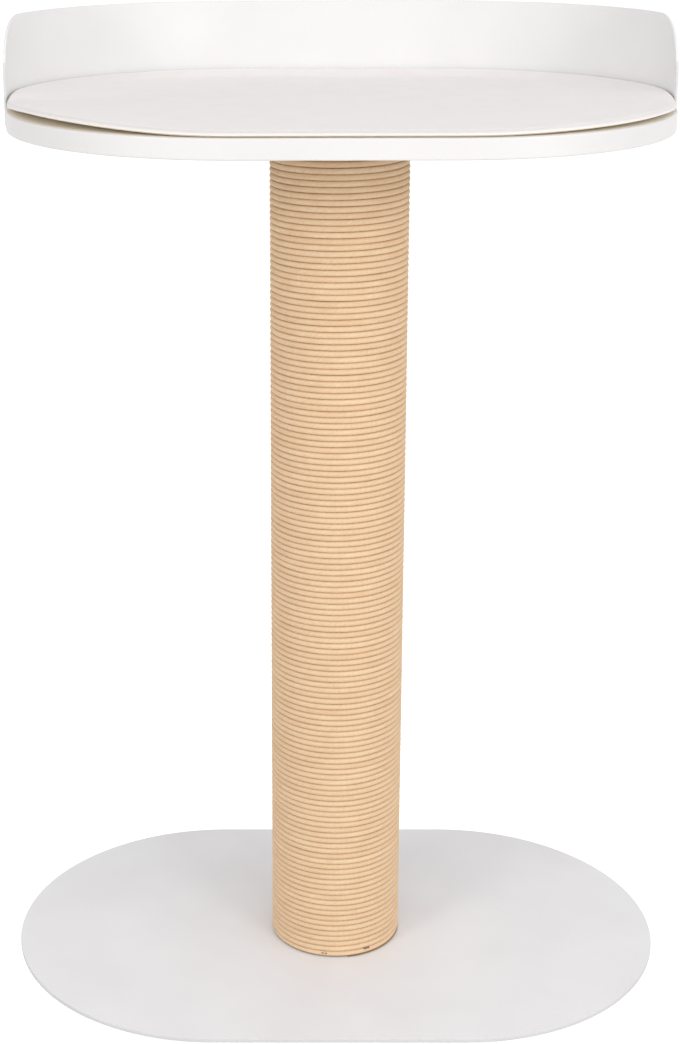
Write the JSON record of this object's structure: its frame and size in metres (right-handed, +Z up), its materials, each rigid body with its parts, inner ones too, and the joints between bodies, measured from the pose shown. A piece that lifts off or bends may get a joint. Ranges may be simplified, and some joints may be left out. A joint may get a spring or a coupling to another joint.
{
  "type": "cat scratching post",
  "caption": "Cord-wound scratching post on a flat steel stadium base, with a railed perch board and a loose felt mat on top.",
  "frame": {"origin": "on the floor, under the axis of the post", "axes": "+Z up, +Y towards the railed back of the perch, +X to the right when facing the open front"},
  "size_m": [0.5, 0.3324, 0.7145],
  "materials": {
    "powder_coat": "pale grey powder coat, fine texture, satin",
    "foam_pads": "closed-cell foam, matt",
    "zinc_steel": "zinc plated",
    "kraft_tube": "spiral-wound kraft board, matt",
    "paper_cord": "twisted paper cord, matt",
    "beech_plugs": "sanded, bare",
    "brass_inserts": "turned, bare",
    "white_lacquer": "warm white lacquer on fibreboard, satin",
    "white_steel": "warm white powder coat on sheet steel, satin",
    "felt_mat": "pressed felt, matt"
  },
  "bodies": {
    "stand": {"base_plate": "powder_coat", "foot_1": "foam_pads", "foot_2": "foam_pads", "foot_3": "foam_pads", "foot_4": "foam_pads", "foot_5": "foam_pads", "foot_6": "foam_pads", "base_screw_1": "zinc_steel", "base_screw_2": "zinc_steel", "base_screw_3": "zinc_steel", "base_screw_4": "zinc_steel", "post_tube": "kraft_tube", "cord_winding": "paper_cord", "bottom_plug": "beech_plugs", "top_plug": "beech_plugs", "base_insert_1": "brass_inserts", "base_insert_2": "brass_inserts", "base_insert_3": "brass_inserts", "base_insert_4": "brass_inserts", "tray_insert_1": "brass_inserts", "tray_insert_2": "brass_inserts", "tray_insert_3": "brass_inserts", "tray_insert_4": "brass_inserts", "perch_board": "white_lacquer", "perch_rail": "white_steel", "tray_screw_1": "zinc_steel", "tray_screw_2": "zinc_steel", "tray_screw_3": "zinc_steel", "tray_screw_4": "zinc_steel", "rail_screw_1": "zinc_steel", "rail_screw_2": "zinc_steel", "rail_screw_3": "zinc_steel", "rail_screw_4": "zinc_steel", "rail_screw_5": "zinc_steel", "rail_screw_6": "zinc_steel", "rail_screw_7": "zinc_steel"},
    "mat": {"seat_mat": "felt_mat"}
  },
  "joints": [
    {"name": "mat_lift", "type": "slide", "parent": "stand", "child": "mat", "axis": [0, 0, 1], "range_m": [0, 0.08]}
  ]
}
